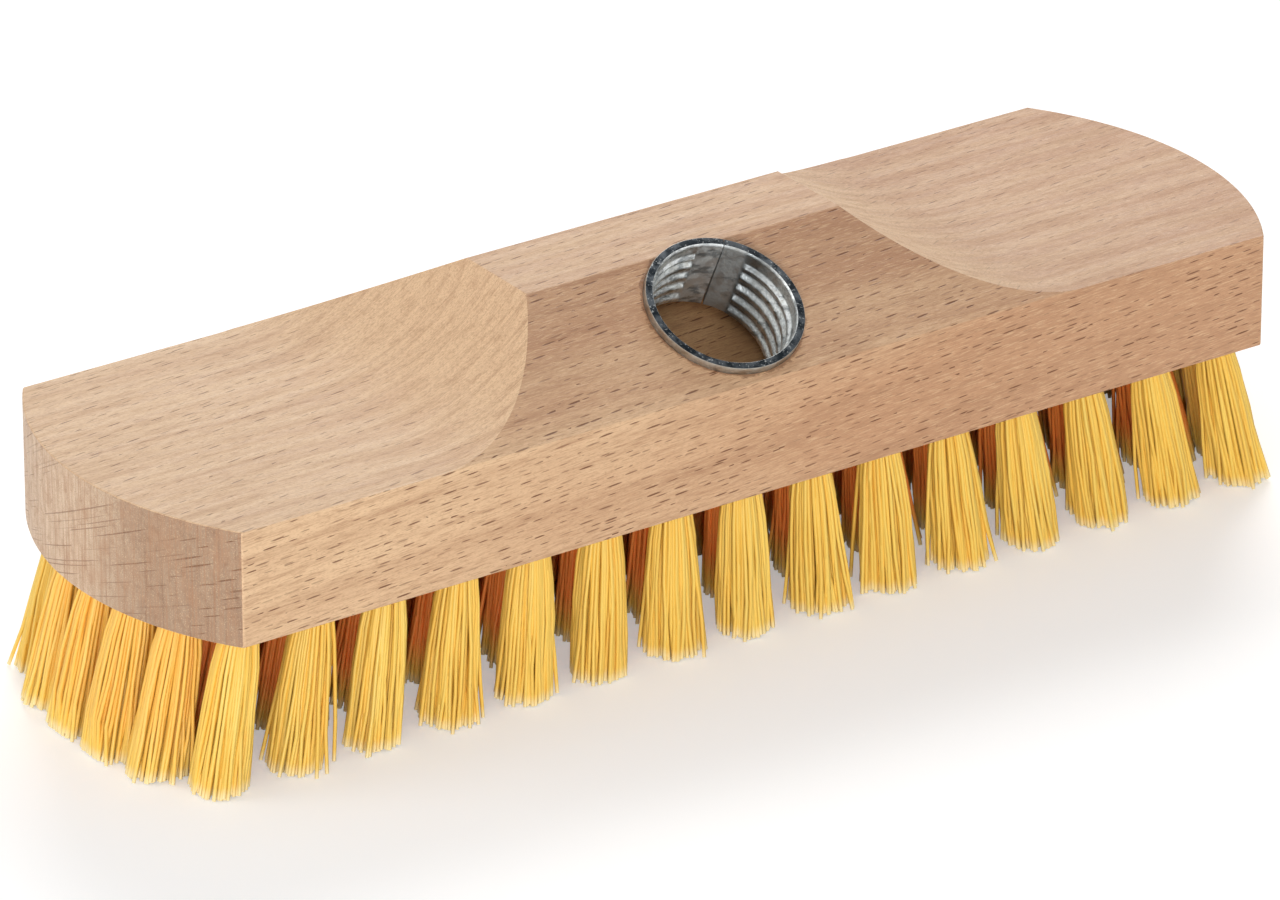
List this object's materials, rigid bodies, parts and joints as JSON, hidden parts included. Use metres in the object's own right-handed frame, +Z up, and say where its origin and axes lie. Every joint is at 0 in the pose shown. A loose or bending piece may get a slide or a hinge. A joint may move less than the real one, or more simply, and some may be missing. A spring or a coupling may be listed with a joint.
{
  "type": "scrubbing brush head",
  "caption": "Wooden scrubbing brush head with scooped ends, stiff yellow bristle tufts and a steel threaded socket for a slanted handle.",
  "frame": {"origin": "on the ground plane under the middle of the block, where the bristle tips stand", "axes": "+X along the block, +Z up from the bristle tips to the roof, -Y the side whose slope carries the handle sleeve"},
  "size_m": [0.2342, 0.068, 0.0652],
  "materials": {
    "beech": "planed and sanded, unvarnished",
    "zinc_plated_steel": "zinc-plated rolled strip",
    "yellow_bristle": "translucent extruded filament"
  },
  "bodies": {
    "root": {"block": "beech", "handle_sleeve": "zinc_plated_steel", "inner_row_1": "yellow_bristle", "inner_row_2": "yellow_bristle", "inner_row_3": "yellow_bristle", "tuft_front_01": "yellow_bristle", "tuft_front_02": "yellow_bristle", "tuft_front_03": "yellow_bristle", "tuft_front_04": "yellow_bristle", "tuft_front_05": "yellow_bristle", "tuft_front_06": "yellow_bristle", "tuft_front_07": "yellow_bristle", "tuft_front_08": "yellow_bristle", "tuft_front_09": "yellow_bristle", "tuft_front_10": "yellow_bristle", "tuft_front_11": "yellow_bristle", "tuft_front_12": "yellow_bristle", "tuft_front_13": "yellow_bristle", "tuft_front_14": "yellow_bristle", "tuft_front_15": "yellow_bristle", "tuft_left_1": "yellow_bristle", "tuft_left_2": "yellow_bristle", "tuft_left_3": "yellow_bristle", "tuft_left_4": "yellow_bristle", "tuft_rear_01": "yellow_bristle", "tuft_rear_02": "yellow_bristle", "tuft_rear_03": "yellow_bristle", "tuft_rear_04": "yellow_bristle", "tuft_rear_05": "yellow_bristle", "tuft_rear_06": "yellow_bristle", "tuft_rear_07": "yellow_bristle", "tuft_rear_08": "yellow_bristle", "tuft_rear_09": "yellow_bristle", "tuft_rear_10": "yellow_bristle", "tuft_rear_11": "yellow_bristle", "tuft_rear_12": "yellow_bristle", "tuft_rear_13": "yellow_bristle", "tuft_rear_14": "yellow_bristle", "tuft_rear_15": "yellow_bristle", "tuft_right_1": "yellow_bristle", "tuft_right_2": "yellow_bristle", "tuft_right_3": "yellow_bristle", "tuft_right_4": "yellow_bristle"}
  },
  "joints": []
}
